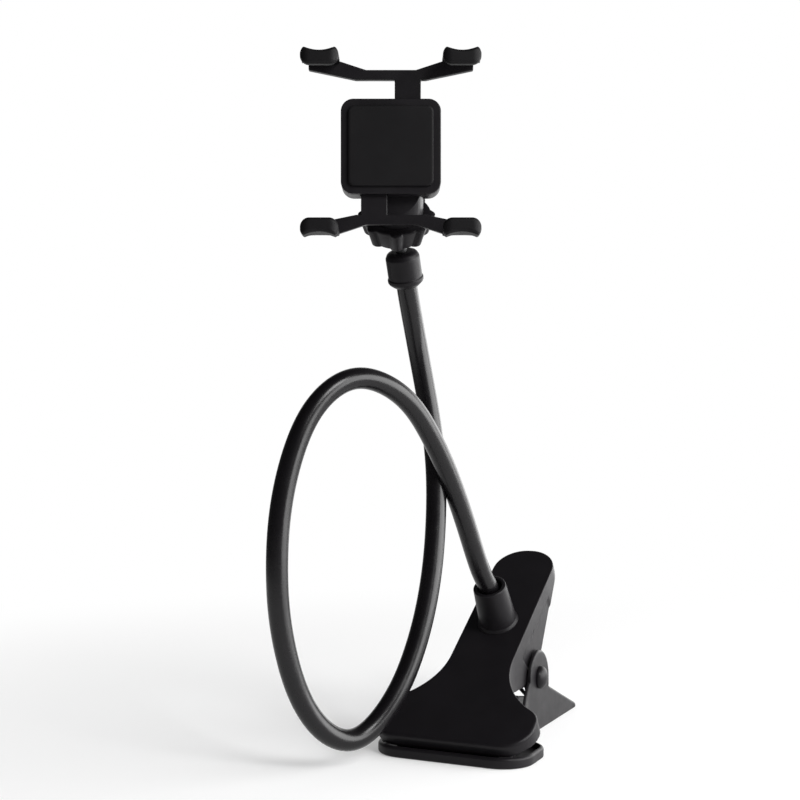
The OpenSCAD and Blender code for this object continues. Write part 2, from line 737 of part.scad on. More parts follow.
module claw_sleeve(side) {
    saddle_r = (claw_w * claw_w / 4 + claw_saddle * claw_saddle) / (2 * claw_saddle);
    top = half_gap + claw_wall;
    low = half_gap - lip_reach;
    back = slide_at - seat_gap;
    color("#242326") cradle_place() translate([side * claw_x, 0, 0]) difference() {
        backwards(-lip_front, lip_front + back) difference() {
            union() {
                translate([-claw_w / 2, low + lip_corner_r])
                    square([claw_w, top + claw_saddle - low - lip_corner_r]);
                translate([lip_corner_r - claw_w / 2, low])
                    square([claw_w - 2 * lip_corner_r, lip_corner_r]);
                for (x = [-1, 1]) translate([x * (claw_w / 2 - lip_corner_r), low + lip_corner_r])
                    circle(lip_corner_r);
            }
            translate([0, top + saddle_r]) circle(saddle_r);
        }
        translate([-claw_w, -phone_room, low - past]) cube([2 * claw_w, phone_room + back + past, half_gap - low + past]);
        translate([-finger_w / 2 - seat_gap, 1.4 - lip_front - seat_gap, finger_low - seat_gap])
            cube([finger_w + 2 * seat_gap, lip_front + back, finger_t + 2 * seat_gap]);
        translate([-finger_w / 2 - seat_gap, 1.4 - lip_front - seat_gap, low + 1.5 - seat_gap])
            cube([finger_w + 2 * seat_gap, lip_t - 2.8 + 2 * seat_gap, finger_low - low - 1.5 + finger_t]);
    }
}

module claw_sleeve_upper_left() {
    claw_sleeve(-1);
}

module claw_sleeve_upper_right() {
    claw_sleeve(1);
}

module claw_sleeve_lower_left() {
    turn_over() claw_sleeve(1);
}

module claw_sleeve_lower_right() {
    turn_over() claw_sleeve(-1);
}

module slide_spring() {
    low = foot_t - tongue_past + spring_wire_r + 0.1;
    high = half_h - housing_wall - spring_wire_r - 0.1;
    steps = 9 * spring_turns;
    line = [for (i = [0:steps]) let (a = 40 * i)
        [spring_x + spring_r * cos(a), spring_y + spring_r * sin(a), low + (high - low) * i / steps]];
    color("#a5a6a9") cradle_place() bar(line, spring_wire_r, 6, [0, 0, 1]);
}

module upper_spring() {
    slide_spring();
}

module lower_spring() {
    turn_over() slide_spring();
}

clip_rear_jaw();
clip_front_jaw();
hinge_pin();
pin_cap_left();
pin_cap_right();
torsion_spring();
front_jaw_pad();
rear_jaw_pad();
arm_base_plug();
arm_socket_screw();
gooseneck_core();
gooseneck_sleeve();
arm_top_cap();
ball_stud();
socket_liner();
pressure_ring();
lock_nut();
cradle_rear_housing();
cradle_front_cover();
cradle_front_pad();
housing_screws();
upper_slide();
lower_slide();
claw_sleeve_upper_left();
claw_sleeve_upper_right();
claw_sleeve_lower_left();
claw_sleeve_lower_right();
upper_spring();
lower_spring();
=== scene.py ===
import json
import math
from contextlib import contextmanager

import bmesh
import bpy
import numpy as np
from mathutils import Matrix, Vector

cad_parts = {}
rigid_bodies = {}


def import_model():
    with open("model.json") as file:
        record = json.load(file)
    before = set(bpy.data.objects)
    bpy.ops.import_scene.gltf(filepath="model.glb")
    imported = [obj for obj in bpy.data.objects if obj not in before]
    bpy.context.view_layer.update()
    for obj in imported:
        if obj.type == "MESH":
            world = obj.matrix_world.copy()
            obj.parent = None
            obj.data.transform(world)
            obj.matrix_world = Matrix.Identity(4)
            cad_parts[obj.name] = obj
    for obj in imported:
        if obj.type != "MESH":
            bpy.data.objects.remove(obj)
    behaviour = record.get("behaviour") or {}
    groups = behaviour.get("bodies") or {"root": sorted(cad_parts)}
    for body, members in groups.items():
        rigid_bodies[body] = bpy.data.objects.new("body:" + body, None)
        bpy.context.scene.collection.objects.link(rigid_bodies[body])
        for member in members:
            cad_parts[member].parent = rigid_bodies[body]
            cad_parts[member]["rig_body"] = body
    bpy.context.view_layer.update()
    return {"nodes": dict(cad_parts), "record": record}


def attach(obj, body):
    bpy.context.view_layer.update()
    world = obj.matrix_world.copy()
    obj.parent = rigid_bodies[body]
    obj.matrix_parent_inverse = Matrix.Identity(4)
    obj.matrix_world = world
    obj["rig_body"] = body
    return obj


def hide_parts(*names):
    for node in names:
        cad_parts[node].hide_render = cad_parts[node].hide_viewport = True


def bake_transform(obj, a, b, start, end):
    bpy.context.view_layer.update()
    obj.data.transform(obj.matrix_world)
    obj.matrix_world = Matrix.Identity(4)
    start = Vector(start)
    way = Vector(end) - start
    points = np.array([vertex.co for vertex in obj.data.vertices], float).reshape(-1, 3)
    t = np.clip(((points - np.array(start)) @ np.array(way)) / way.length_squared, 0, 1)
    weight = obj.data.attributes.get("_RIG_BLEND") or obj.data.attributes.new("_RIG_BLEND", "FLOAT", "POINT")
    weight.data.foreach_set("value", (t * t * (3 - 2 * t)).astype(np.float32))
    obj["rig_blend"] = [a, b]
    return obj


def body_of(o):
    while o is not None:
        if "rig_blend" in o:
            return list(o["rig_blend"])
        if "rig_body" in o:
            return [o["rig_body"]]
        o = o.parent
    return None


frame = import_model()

# The shapes are worked out in millimetres, as in the part's source, and turned into metres here
MM = 0.001
# Points nearer to each other than this, in metres, become one
FINE_WELD = 1e-7
WELD = 1e-6


def linked(name, data):
    obj = bpy.data.objects.new(name, data)
    bpy.context.collection.objects.link(obj)
    return obj


# Camera
camera_data = bpy.data.cameras.new("camera")
camera_data.lens = 63
camera_data.sensor_width = 36
camera_data.clip_start = 0.01
camera_data.clip_end = 20
camera = linked("camera", camera_data)
camera.location = (-0.0483, -0.6435, 0.150)
camera.rotation_euler = (math.radians(90), 0, 0)
bpy.context.scene.camera = camera


# Sizes that the looks share with the source
CLIP_TURN = 25
FRONT_SLOPE = 32.6
JAW_REACH = 72
JAW_PROUD = 0.6
FRONT_H = 9.2
PIN_H = 24
SKIN = 2
REAR_WALL = 1.6
HANDLE_HALF = 14.7
REAR_HALF = 16.8
FRONT_LEN = 127
REAR_LEN = 129.6
FLARE_R = 32.5
RIM = 4.6
SIDE_RIM = 8
EAR_R = 12.4
CHEEK_R = 9.5
PIN_HOLE_R = 2.55
BOSS_AT = 75
BOSS_H = 20.5
BOSS_BORE_R = 8.2
PLUG_SUNK = 8.5
TUBE_R = 4.4
TUBE_BORE_R = 3.0
BALL_OUT = 21.2
CRADLE_OFF = (-2.2, -23, 25.4)
HALF_GAP = 33.5
CLAW_X = 28

# The front half's rim is deeper at its tip than in the source, so that it hides the pads
TIP_RIM = 6


# Geometry helpers
def turn(axis, degrees):
    return Matrix.Rotation(math.radians(degrees), 4, axis)


def move(x, y, z):
    return Matrix.Translation((x, y, z))


def unit(v):
    return v / np.linalg.norm(v)


# Where the clip's halves, its pin and the arm's socket are
CLIP = turn("Z", -CLIP_TURN)
FRONT = CLIP @ move(0, -JAW_REACH, FRONT_H) @ turn("X", FRONT_SLOPE)
REAR = CLIP @ move(0, -JAW_REACH - JAW_PROUD, 0)
PIN_HOLE = CLIP @ move(0, 0, PIN_H) @ turn("Y", 90)
BOSS = FRONT @ move(0, BOSS_AT, 0)
MOUTH = np.array(BOSS @ Vector((0, 0, BOSS_H)))
SOCKET_AXIS = np.array((BOSS.to_3x3() @ Vector((0, 0, 1))))

# The arm's way from the socket's mouth, up, round its loop and up to the cradle
LOOP = [
    (-4.5, -5, 8), (-11, -14.5, 28.5), (-18.5, -24.5, 49.5), (-26, -33.5, 66),
    (-34, -42, 79.5), (-43.5, -50, 88), (-54.5, -57.5, 92), (-65, -64, 89),
    (-75, -69.5, 78.5), (-82, -73.5, 62), (-86.5, -76, 42), (-88, -77, 22),
    (-87.5, -76.5, 1.5), (-84.5, -74.5, -17.5), (-79.5, -71, -34.5), (-71.5, -66, -48),
    (-61.5, -59.5, -54.5), (-52, -53, -51.5), (-42, -46.5, -39.5), (-35, -40, -25),
    (-29.5, -34, -7), (-26, -28.5, 13), (-24.5, -24, 33.5), (-24.5, -21, 53.5),
    (-26.5, -19.5, 73), (-30, -19.5, 93), (-33.4, -22.5, 111.5), (-36.3, -30.5, 126.5),
    (-38.4, -37, 140),
]
ROUTE = [MOUTH - PLUG_SUNK * SOCKET_AXIS, MOUTH - SOCKET_AXIS]
ROUTE += [MOUTH + np.array(p) for p in LOOP]
ARM_END = ROUTE[-1]
ARM_UP = unit(ROUTE[-1] - ROUTE[-2])

# Where the cap, the ball and the cradle are. FLIPPED is the cradle's place for its lower pieces
CAP = (
    move(*ARM_END)
    @ Matrix.Rotation(math.atan2(ARM_UP[1], ARM_UP[0]), 4, "Z")
    @ Matrix.Rotation(math.acos(ARM_UP[2]), 4, "Y")
)
BALL_AT = ARM_END + ARM_UP * BALL_OUT
BALL = move(*BALL_AT) @ turn("X", 45)
CRADLE = move(*(BALL_AT + np.array(CRADLE_OFF)))
FLIPPED = CRADLE @ turn("Y", 180)


def smooth_line(points, steps):
    """The same smooth curve by the points as in the source."""
    p = [np.array(q, float) for q in points]
    n = len(p)
    inner = [
        p[i] if i < 2 or i > n - 3 else p[i] - (p[i - 1] - 2 * p[i] + p[i + 1]) / 6
        for i in range(n)
    ]
    c = [2 * p[0] - p[1]] + inner + [2 * p[-1] - p[-2]]
    line = []
    for i in range(n - 1):
        for k in range(steps):
            t = k / steps
            line.append(
                ((1 - t) ** 3 * c[i] + (3 * t**3 - 6 * t * t + 4) * c[i + 1]
                 + (3 * t + 3 * t * t - 3 * t**3 + 1) * c[i + 2] + t**3 * c[i + 3]) / 6
            )
    return line + [p[-1]]


def arc(cx, cy, r, start, end, steps):
    angles = np.radians(np.linspace(start, end, steps + 1))
    return [(cx + r * math.cos(a), cy + r * math.sin(a)) for a in angles]


# A corner nearer to straight than this, in radians, stays as it is
NEARLY_STRAIGHT = 0.01
# The most of a side that the rounding of one corner takes
CORNER_SHARE = 0.48


def rounded(points, radii, steps=5):
    """A closed polyline with its corners rounded, all to one radius or each to its own.

    Every corner gives steps + 1 points, also a straight one, so that rings of it fit together.
    """
    out = []
    n = len(points)
    for i in range(n):
        p = np.array(points[i], float)
        r = radii[i] if isinstance(radii, list) else radii
        a = np.array(points[i - 1], float) - p
        b = np.array(points[(i + 1) % n], float) - p
        la, lb = np.linalg.norm(a), np.linalg.norm(b)
        a, b = a / la, b / lb
        half = math.acos(max(-1, min(1, float(a @ b)))) / 2
        if half > math.pi / 2 - NEARLY_STRAIGHT:
            out += [tuple(p)] * (steps + 1)
            continue
        reach = min(r / math.tan(half), CORNER_SHARE * la, CORNER_SHARE * lb)
        r = reach * math.tan(half)
        centre = p + unit(a + b) * r / math.sin(half)
        start, end = p + a * reach - centre, p + b * reach - centre
        a0, a1 = math.atan2(start[1], start[0]), math.atan2(end[1], end[0])
        sweep = (a1 - a0 + math.pi) % (2 * math.pi) - math.pi
        for k in range(steps + 1):
            t = a0 + sweep * k / steps
            out.append((centre[0] + r * math.cos(t), centre[1] + r * math.sin(t)))
    return out


def loft(rings, closed=False):
    """Faces between rings of points. The rings join end to end if closed, or else get end faces."""
    m = len(rings[0])
    verts = [v for r in rings for v in r]
    faces = []
    count = len(rings)
    for i in range(count if closed else count - 1):
        j = (i + 1) % count
        for k in range(m):
            n = (k + 1) % m
            faces.append((i * m + k, i * m + n, j * m + n, j * m + k))
    if not closed:
        faces.append(tuple(range(m))[::-1])
        faces.append(tuple((count - 1) * m + k for k in range(m)))
    return verts, faces


def lathe(profile, sides=96, shape=None):
    """A closed profile of (radius, height) turned about Z. shape may change a radius by angle."""
    rings = []
    for s in range(sides):
        a = 2 * math.pi * s / sides
        ring = []
        for r, z in profile:
            q = shape(r, z, a) if shape else r
            ring.append((q * math.cos(a), q * math.sin(a), z))
        rings.append(ring)
    return loft(rings, closed=True)


def rod(r, low, high, sides=48):
    rings = [[(r * math.cos(2 * math.pi * k / sides), r * math.sin(2 * math.pi * k / sides), z)
              for k in range(sides)] for z in (low, high)]
    return loft(rings)


# Piece helpers
@contextmanager
def editing(mesh):
    """Opens a mesh for bmesh's tools and writes it back."""
    b = bmesh.new()
    b.from_mesh(mesh)
    yield b
    b.to_mesh(mesh)
    b.free()


def shade(mesh, angle=32):
    """Smooth shading, with sharp edges where faces meet at more than the angle."""
    mesh.shade_smooth()
    mesh.set_sharp_from_angle(angle=math.radians(angle))


def make_mesh(name, verts, faces, place):
    """A mesh in metres from points in millimetres in the frame of place."""
    mesh = bpy.data.meshes.new(name)
    mesh.from_pydata([tuple(place @ Vector(v) * MM) for v in verts], [], faces)
    with editing(mesh) as b:
        bmesh.ops.remove_doubles(b, verts=b.verts, dist=FINE_WELD)
        bmesh.ops.recalc_face_normals(b, faces=b.faces)
    return mesh


def piece(name, verts, faces, place, body, material, replaced=(), angle=32):
    mesh = make_mesh(name, verts, faces, place)
    shade(mesh, angle)
    mesh.materials.append(MATERIALS[material])
    obj = linked(name, mesh)
    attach(obj, body)
    if replaced:
        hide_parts(*replaced)
    return obj


def cut(obj, cutters):
    """Takes closed shapes, each (verts, faces, place), out of a piece."""
    for verts, faces, place in cutters:
        tool = linked("cutter", make_mesh("cutter", verts, faces, place))
        modifier = obj.modifiers.new("cut", "BOOLEAN")
        modifier.operation = "DIFFERENCE"
        modifier.solver = "EXACT"
        modifier.object = tool
        bpy.context.view_layer.update()
        graph = bpy.context.evaluated_depsgraph_get()
        made = bpy.data.meshes.new_from_object(obj.evaluated_get(graph))
        obj.modifiers.clear()
        obj.data = made
        bpy.data.objects.remove(tool)
    with editing(obj.data) as b:
        bmesh.ops.remove_doubles(b, verts=b.verts, dist=WELD)
        bmesh.ops.dissolve_degenerate(b, edges=b.edges, dist=WELD)
    shade(obj.data)


# Materials
def node(tree, kind, inputs=None, **settings):
    """A shader node with its settings, and with values on its input sockets."""
    made = tree.nodes.new(kind)
    for key, value in settings.items():
        setattr(made, key, value)
    for key, value in (inputs or {}).items():
        made.inputs[key].default_value = value
    return made


# The sizes in mm of the drift in colour, the patches in gloss and the slow waves in a surface
DRIFT, PATCH, WAVE = 22, 7, 14
# The part of a noise's range that is used
NOISE_LOW, NOISE_HIGH = 0.3, 0.7


def surface(name, base, spread, rough, rough_spread, grain, grain_depth, wave_depth=0.0,
            metallic=0.0, specular=0.5):
    """A finish whose colour and gloss drift a little, with a fine grain. Sizes are in mm."""
    material = bpy.data.materials.new(name)
    material.use_nodes = True
    tree = material.node_tree
    link = tree.links.new
    shader = tree.nodes["Principled BSDF"]
    shader.inputs["Metallic"].default_value = metallic
    shader.inputs["Specular IOR Level"].default_value = specular
    place = node(tree, "ShaderNodeTexCoord")

    def noise(size, detail):
        made = node(tree, "ShaderNodeTexNoise", {"Scale": 1 / (size * MM), "Detail": detail})
        link(place.outputs["Object"], made.inputs["Vector"])
        return made

    tint = node(tree, "ShaderNodeValToRGB")
    ends = ((NOISE_LOW, 1 - spread), (NOISE_HIGH, 1 + spread))
    for element, (position, share) in zip(tint.color_ramp.elements, ends):
        element.position = position
        element.color = [c * share for c in base] + [1]
    link(noise(DRIFT, 3).outputs["Fac"], tint.inputs["Fac"])
    link(tint.outputs["Color"], shader.inputs["Base Color"])

    gloss = node(tree, "ShaderNodeMapRange", {
        "From Min": NOISE_LOW, "From Max": NOISE_HIGH,
        "To Min": rough - rough_spread, "To Max": rough + rough_spread})
    link(noise(PATCH, 4).outputs["Fac"], gloss.inputs["Value"])
    link(gloss.outputs["Result"], shader.inputs["Roughness"])

    bump = node(tree, "ShaderNodeBump", {"Strength": 1.0, "Distance": grain_depth * MM})
    link(noise(grain, 2).outputs["Fac"], bump.inputs["Height"])
    if wave_depth:
        wave = node(tree, "ShaderNodeBump", {"Strength": 1.0, "Distance": wave_depth * MM})
        link(noise(WAVE, 1).outputs["Fac"], wave.inputs["Height"])
        link(wave.outputs["Normal"], bump.inputs["Normal"])
    link(bump.outputs["Normal"], shader.inputs["Normal"])
    return material


FINISHES = {
    "black_abs": dict(base=(0.0074, 0.0066, 0.0078), spread=0.12, rough=0.40, rough_spread=0.05,
                      grain=0.40, grain_depth=0.014, wave_depth=0.04, specular=0.16),
    "black_pvc": dict(base=(0.0042, 0.0037, 0.0044), spread=0.12, rough=0.26, rough_spread=0.04,
                      grain=1.4, grain_depth=0.008, wave_depth=0.04, specular=0.32),
    "rubber": dict(base=(0.0058, 0.0054, 0.0060), spread=0.10, rough=0.54, rough_spread=0.05,
                   grain=0.45, grain_depth=0.003, wave_depth=0.02, specular=0.12),
    "steel": dict(base=(0.52, 0.52, 0.54), spread=0.05, rough=0.28, rough_spread=0.06,
                  grain=0.2, grain_depth=0.003, metallic=1.0),
    "spring_steel": dict(base=(0.40, 0.40, 0.42), spread=0.08, rough=0.33, rough_spread=0.06,
                         grain=0.25, grain_depth=0.004, metallic=1.0),
    "aluminium": dict(base=(0.70, 0.70, 0.72), spread=0.05, rough=0.34, rough_spread=0.05,
                      grain=0.25, grain_depth=0.004, metallic=1.0),
    "nylon": dict(base=(0.60, 0.58, 0.54), spread=0.05, rough=0.42, rough_spread=0.05,
                  grain=0.5, grain_depth=0.008),
    "dark_nylon": dict(base=(0.012, 0.012, 0.013), spread=0.1, rough=0.40, rough_spread=0.05,
                       grain=0.5, grain_depth=0.008, specular=0.3),
}
MATERIALS = {name: surface(name, **finish) for name, finish in FINISHES.items()}
SLOTS = {s["node"]: s["material_slot"] for s in frame["record"]["subparts"]}


# Clip halves: a plate with a rim all round, drawn as rings of one outline
def outline(half, neck, length, front_r, back_r, depth, end_r, inset, stops):
    """A half's plan: wide from its tip to depth, then flared in to the handle's width."""
    flare_x = neck + FLARE_R
    corner_x = half - back_r
    reach = math.sqrt((FLARE_R + back_r) ** 2 - (flare_x - corner_x) ** 2)
    alpha = math.degrees(math.atan2(reach, flare_x - corner_x))
    flare_end = depth + reach
    side = [(x, inset) for x in np.linspace(0, half - front_r, 7)]
    side += arc(half - front_r, front_r, front_r - inset, -90, 0, 14)[1:]
    side += [(half - inset, s) for s in np.linspace(front_r, depth, 5)[1:]]
    side += arc(corner_x, depth, back_r - inset, 0, alpha, 12)[1:]
    side += arc(flare_x, flare_end, FLARE_R + inset, 180 + alpha, 180, 22)[1:]
    side += [(neck - inset, s) for s in stops if flare_end + 0.3 < s < length - end_r - 0.3]
    side += arc(neck - end_r, length - end_r, end_r - inset, 0, 90, 14)
    side += [(x, length - inset) for x in np.linspace(neck - end_r, 0, 5)[1:]]
    return side + [(-x, s) for x, s in side[-2:0:-1]]


def rim_depth(s, line, circle):
    """How far the rim reaches from the plate at s, from the side view's line and circle."""
    xs, ds = [p[0] for p in line], [p[1] for p in line]
    depth = float(np.interp(s, xs, ds))
    cx, cd, r = circle
    if abs(s - cx) < r:
        depth = max(depth, cd + math.sqrt(r * r - (s - cx) ** 2))
    return depth


RIM_ROWS = 22
INNER_ROWS = 5


def shell(plan, line, circle, sign, edge_line, wall, lip_out, lip_in, dent=None):
    """The rings of a clip half, from the middle of its plate, over the rim and back inside."""
    cx, _, r = circle
    stops = set(np.arange(50, plan["length"], 1.25).round(2))
    stops |= {round(cx + r * math.cos(math.radians(a)), 2) for a in range(0, 181, 6)}
    stops = sorted(stops)
    base = np.array(outline(**plan, inset=0, stops=stops))
    inwards = np.array(outline(**plan, inset=1, stops=stops)) - base
    depth = np.array([max(rim_depth(s, line, circle), SKIN + 0.25) for _, s in base])
    edge = np.interp(base[:, 1], *zip(*edge_line))
    rings = []

    def ring(inset, level):
        pts = base + inwards * np.broadcast_to(inset, len(base))[:, None]
        level = np.broadcast_to(level, len(base))
        rings.append([(x, y, sign * z) for (x, y), z in zip(pts, level)])

    # From the plate's face round its edge, down the rim's outside and round its lip
    for extra in (0.8, 0.4, 0):
        ring(edge + extra, 0)
    for t in np.radians(range(15, 91, 15)):
        ring(edge * (1 - math.sin(t)), edge * (1 - math.cos(t)))
    low = np.maximum(depth - lip_out, edge + 0.02)
    for i in range(1, RIM_ROWS + 1):
        ring(0, edge + (low - edge) * i / RIM_ROWS)
    for t in np.radians((22.5, 45, 67.5, 90)):
        ring(lip_out * (1 - math.cos(t)), low + (depth - low) * math.sin(t))
    if dent:
        rings[:] = [[dent(p) for p in outer] for outer in rings]

    # Back up the rim's inside to the plate
    for t in np.radians((90, 60, 30, 0)):
        ring(wall - lip_in * (1 - math.cos(t)), depth - lip_in + lip_in * math.sin(t))
    floor_level = np.minimum(SKIN + 0.3, depth - lip_in)
    for i in range(1, INNER_ROWS + 1):
        ring(wall, depth - lip_in + (floor_level - depth + lip_in) * i / INNER_ROWS)
    ring(wall + 0.3, np.minimum(SKIN, floor_level))
    ring(wall + 0.7, SKIN)
    return loft(rings)


# The pin's place along the front half, and its level, below zero as it lies under the half's face
SLOPE_COS, SLOPE_SIN = math.cos(math.radians(FRONT_SLOPE)), math.sin(math.radians(FRONT_SLOPE))
PIN_ALONG = JAW_REACH * SLOPE_COS + (PIN_H - FRONT_H) * SLOPE_SIN
PIN_LEVEL = (PIN_H - FRONT_H) * SLOPE_COS - JAW_REACH * SLOPE_SIN
PIN_DEPTH = -PIN_LEVEL

# The front half: its plan, its rim's depth along it and the rounding of its face's edge
FRONT_PLAN = dict(half=36, neck=HANDLE_HALF, length=FRONT_LEN,
                  front_r=12.5, back_r=8, depth=15.2, end_r=14)
FRONT_LINE = [
    (-1, TIP_RIM), (2, TIP_RIM), (4, 5.2), (FRONT_PLAN["depth"], SIDE_RIM),
    (PIN_ALONG - 30, SIDE_RIM), (PIN_ALONG - 23, PIN_DEPTH - 12.4),
    (PIN_ALONG - 8.4, PIN_DEPTH - 2.5), (PIN_ALONG, PIN_DEPTH),
    (PIN_ALONG + 14.8, PIN_DEPTH - 3.8), (FRONT_LEN - 8, RIM), (FRONT_LEN + 1, RIM),
]
FRONT_EDGE = [(0, 1.7), (14, 1.2), (30, 0.45), (110, 0.45), (FRONT_LEN, 0.8)]

# The shallow step in its cheeks: a line of (height, place) from the pin, with its other limits
STEP_HEIGHTS, STEP_PLACES = [-10.5, 9.7, 18.8], [-1.5, -5.5, -8.9]
STEP_TOP, STEP_BACK = 18.8, 34
STEP_DEPTH, STEP_BLUR = 0.5, 0.7


def cheek_dent(p):
    """Takes the step into a point of the front half's outside, behind the step's bent line."""
    x, s, z = p
    a, b = s - PIN_ALONG, z - PIN_LEVEL
    if abs(x) < HANDLE_HALF - 0.6:
        return p
    line = np.interp(b, STEP_HEIGHTS, STEP_PLACES)
    inside = min(a - line, STEP_TOP - b, STEP_BACK - a)
    t = max(0.0, min(1.0, inside / STEP_BLUR))
    return (x - math.copysign(STEP_DEPTH * t * t * (3 - 2 * t), x), s, z)


verts, faces = shell(FRONT_PLAN, FRONT_LINE, (PIN_ALONG, PIN_DEPTH, CHEEK_R), sign=-1,
                     edge_line=FRONT_EDGE, wall=SKIN, lip_out=0.5, lip_in=0.4, dent=cheek_dent)
front_half = piece("clip_front_half", verts, faces, FRONT, "front_arm", "black_abs",
                   ["clip_front_jaw"])
pin_hole = rod(PIN_HOLE_R, -60, 60)
cut(front_half, [(*pin_hole, PIN_HOLE), (*rod(BOSS_BORE_R, -5, 5, 64), BOSS)])

# The rear half
REAR_PLAN = dict(half=34.8, neck=REAR_HALF, length=REAR_LEN,
                 front_r=14, back_r=10, depth=24.5, end_r=5.5)
REAR_PIN = JAW_REACH + JAW_PROUD
REAR_LINE = [
    (-1, RIM), (REAR_PIN - 30, RIM), (REAR_PIN - EAR_R, PIN_H), (REAR_PIN, PIN_H),
    (REAR_PIN + EAR_R - 0.5, PIN_H - 5.6), (REAR_LEN - 4, SKIN + 0.3), (REAR_LEN, SKIN + 0.3),
]
REAR_EDGE = [(0, 0.9), (130, 0.6)]
verts, faces = shell(REAR_PLAN, REAR_LINE, (REAR_PIN, PIN_H, EAR_R), sign=1,
                     edge_line=REAR_EDGE, wall=REAR_WALL, lip_out=1.3, lip_in=0.25)
rear_half = piece("clip_rear_half", verts, faces, REAR, "clip_rear", "black_abs",
                  ["clip_rear_jaw"])
cut(rear_half, [(*pin_hole, PIN_HOLE)])

# The rear half's cross wall in front of the spring
CROSS_WALL_HALF, CROSS_WALL_T, CROSS_WALL_AHEAD = 16, 2, 26
wall_plan = rounded(
    [(-CROSS_WALL_HALF, 0), (CROSS_WALL_HALF, 0),
     (CROSS_WALL_HALF, CROSS_WALL_T), (-CROSS_WALL_HALF, CROSS_WALL_T)], 0.4, 3)
verts, faces = loft([[(x, y, z) for x, y in wall_plan] for z in (1.5, 19.6, 20)])
piece("clip_cross_wall", verts, faces, REAR @ move(0, REAR_PIN - CROSS_WALL_AHEAD, 0),
      "clip_rear", "black_abs")

# The arm's socket on the front half
socket_profile = rounded(
    [(5.5, -5), (5.5, BOSS_H), (7.4, BOSS_H), (8.5, 1.5), (9.3, 0.5), (9.3, -0.2), (8.6, -0.4),
     (8.6, -7), (1.6, -7), (1.6, -5)],
    [0.3, 0.7, 0.7, 0.8, 0.4, 0.1, 0.1, 0.5, 0.2, 0.2], 6)
verts, faces = lathe(socket_profile)
piece("arm_socket", verts, faces, BOSS, "front_arm", "black_abs")

# Domed caps on the pin
DOME_R, DOME_H, DOME_BASE = 5.1, 3.1, 0.4
dome = [(2.5, -0.02), (2.5, 1.3), (0.001, 1.3)]
dome += [(DOME_R * math.cos(t), DOME_BASE + DOME_H * math.sin(t))
         for t in np.radians(np.linspace(89.9, 0, 18))]
dome += [(DOME_R, 0.2), (4.95, 0)]
for side, name in ((-1, "left"), (1, "right")):
    verts, faces = lathe(dome, 64)
    piece("pin_dome_" + name, verts, faces,
          CLIP @ move(side * REAR_HALF, 0, PIN_H) @ turn("Y", side * 90),
          "clip_rear", "black_abs", ["pin_cap_" + name])


# The arm's sleeve, swept along its route
def sweep(line, r_out, r_in, sides, end_r=0.6):
    """A tube along a line, with its start's outer edge rounded by end_r."""
    n = len(line)
    frames = []
    for i, p in enumerate(line):
        t = unit(line[min(i + 1, n - 1)] - line[max(i - 1, 0)])
        u = unit(np.cross(t, (0, 1, 0)))
        frames.append((p, u, np.cross(u, t), t))

    def ring(i, r, shift=0.0):
        p, u, v, t = frames[i]
        return [tuple(p + shift * t + r * (math.cos(a) * u + math.sin(a) * v))
                for a in 2 * math.pi * np.arange(sides) / sides]

    rings = [ring(0, r_in), ring(0, r_out - end_r), ring(0, r_out - 0.15 * end_r, 0.15 * end_r)]
    rings += [ring(i, r_out) for i in range(1, n - 1)]
    rings += [ring(n - 1, r_out), ring(n - 1, r_in)]
    rings += [ring(i, r_in) for i in range(n - 2, 0, -4)]
    return loft(rings, closed=True)


verts, faces = sweep(smooth_line(ROUTE, 7), TUBE_R, TUBE_BORE_R, 32)
piece("arm_sleeve", verts, faces, Matrix.Identity(4), "front_arm", "black_pvc",
      ["gooseneck_sleeve"], 50)

# The cap on the arm's upper end
cap_profile = rounded(
    [(TUBE_R + 0.1, -9.2), (5.5, -9.2), (7.15, -7.7), (7.6, -6.9), (7.6, -5.8), (7.2, -5.2),
     (7.2, 3.6), (6.3, 5.4), (4.3, 6.15), (2.46, 6.2), (2.46, 0), (TUBE_R + 0.1, 0)],
    [0.2, 0.5, 0.4, 0.4, 0.4, 0.3, 1.8, 1.8, 2.0, 0.2, 0.1, 0.1], 6)
verts, faces = lathe(cap_profile)
piece("arm_cap", verts, faces, CAP, "front_arm", "black_abs", ["arm_top_cap"])


# The lock nut with its lobes
NUT_BACK, NUT_OVER, NUT_REAR_R, NUT_FLARE = 8, 2, 11.65, 0.3
NUT_FRONT_R = NUT_REAR_R + NUT_FLARE * (NUT_BACK + NUT_OVER)
NUT_BORE_R, NUT_POCKET_R, NUT_POCKET_FLOOR = 8.2, 11.06, -5.5
FIN_PITCH, FIN_HEIGHT, FIN_HALF = 45, 1.65, 2.5


def nut_shape(r, z, a):
    """Grows the nut's outer wall into eight rounded fins."""
    wall_r = NUT_REAR_R + NUT_FLARE * (z + NUT_BACK)
    share = max(0.0, min(1.0, r - wall_r + 1.2))
    off = (math.degrees(a) + FIN_PITCH / 2) % FIN_PITCH - FIN_PITCH / 2
    t = min(1.0, abs(math.radians(off)) * r / FIN_HALF)
    return r + FIN_HEIGHT * share * max(0.0, math.cos(t * math.pi / 2)) ** 0.8


nut_profile = rounded(
    [(NUT_BORE_R, -NUT_BACK), (NUT_REAR_R, -NUT_BACK), (NUT_FRONT_R, NUT_OVER),
     (NUT_POCKET_R, NUT_OVER), (NUT_POCKET_R, NUT_POCKET_FLOOR), (NUT_BORE_R, NUT_POCKET_FLOOR)],
    [0.3, 0.9, 0.9, 0.3, 0.1, 0.3], 6)
verts, faces = lathe(nut_profile, 384, nut_shape)
piece("cradle_nut", verts, faces, BALL, "nut", "black_abs", ["lock_nut"])


# Copies of solids, which leave the solids themselves as they are
FLAT = 0.6


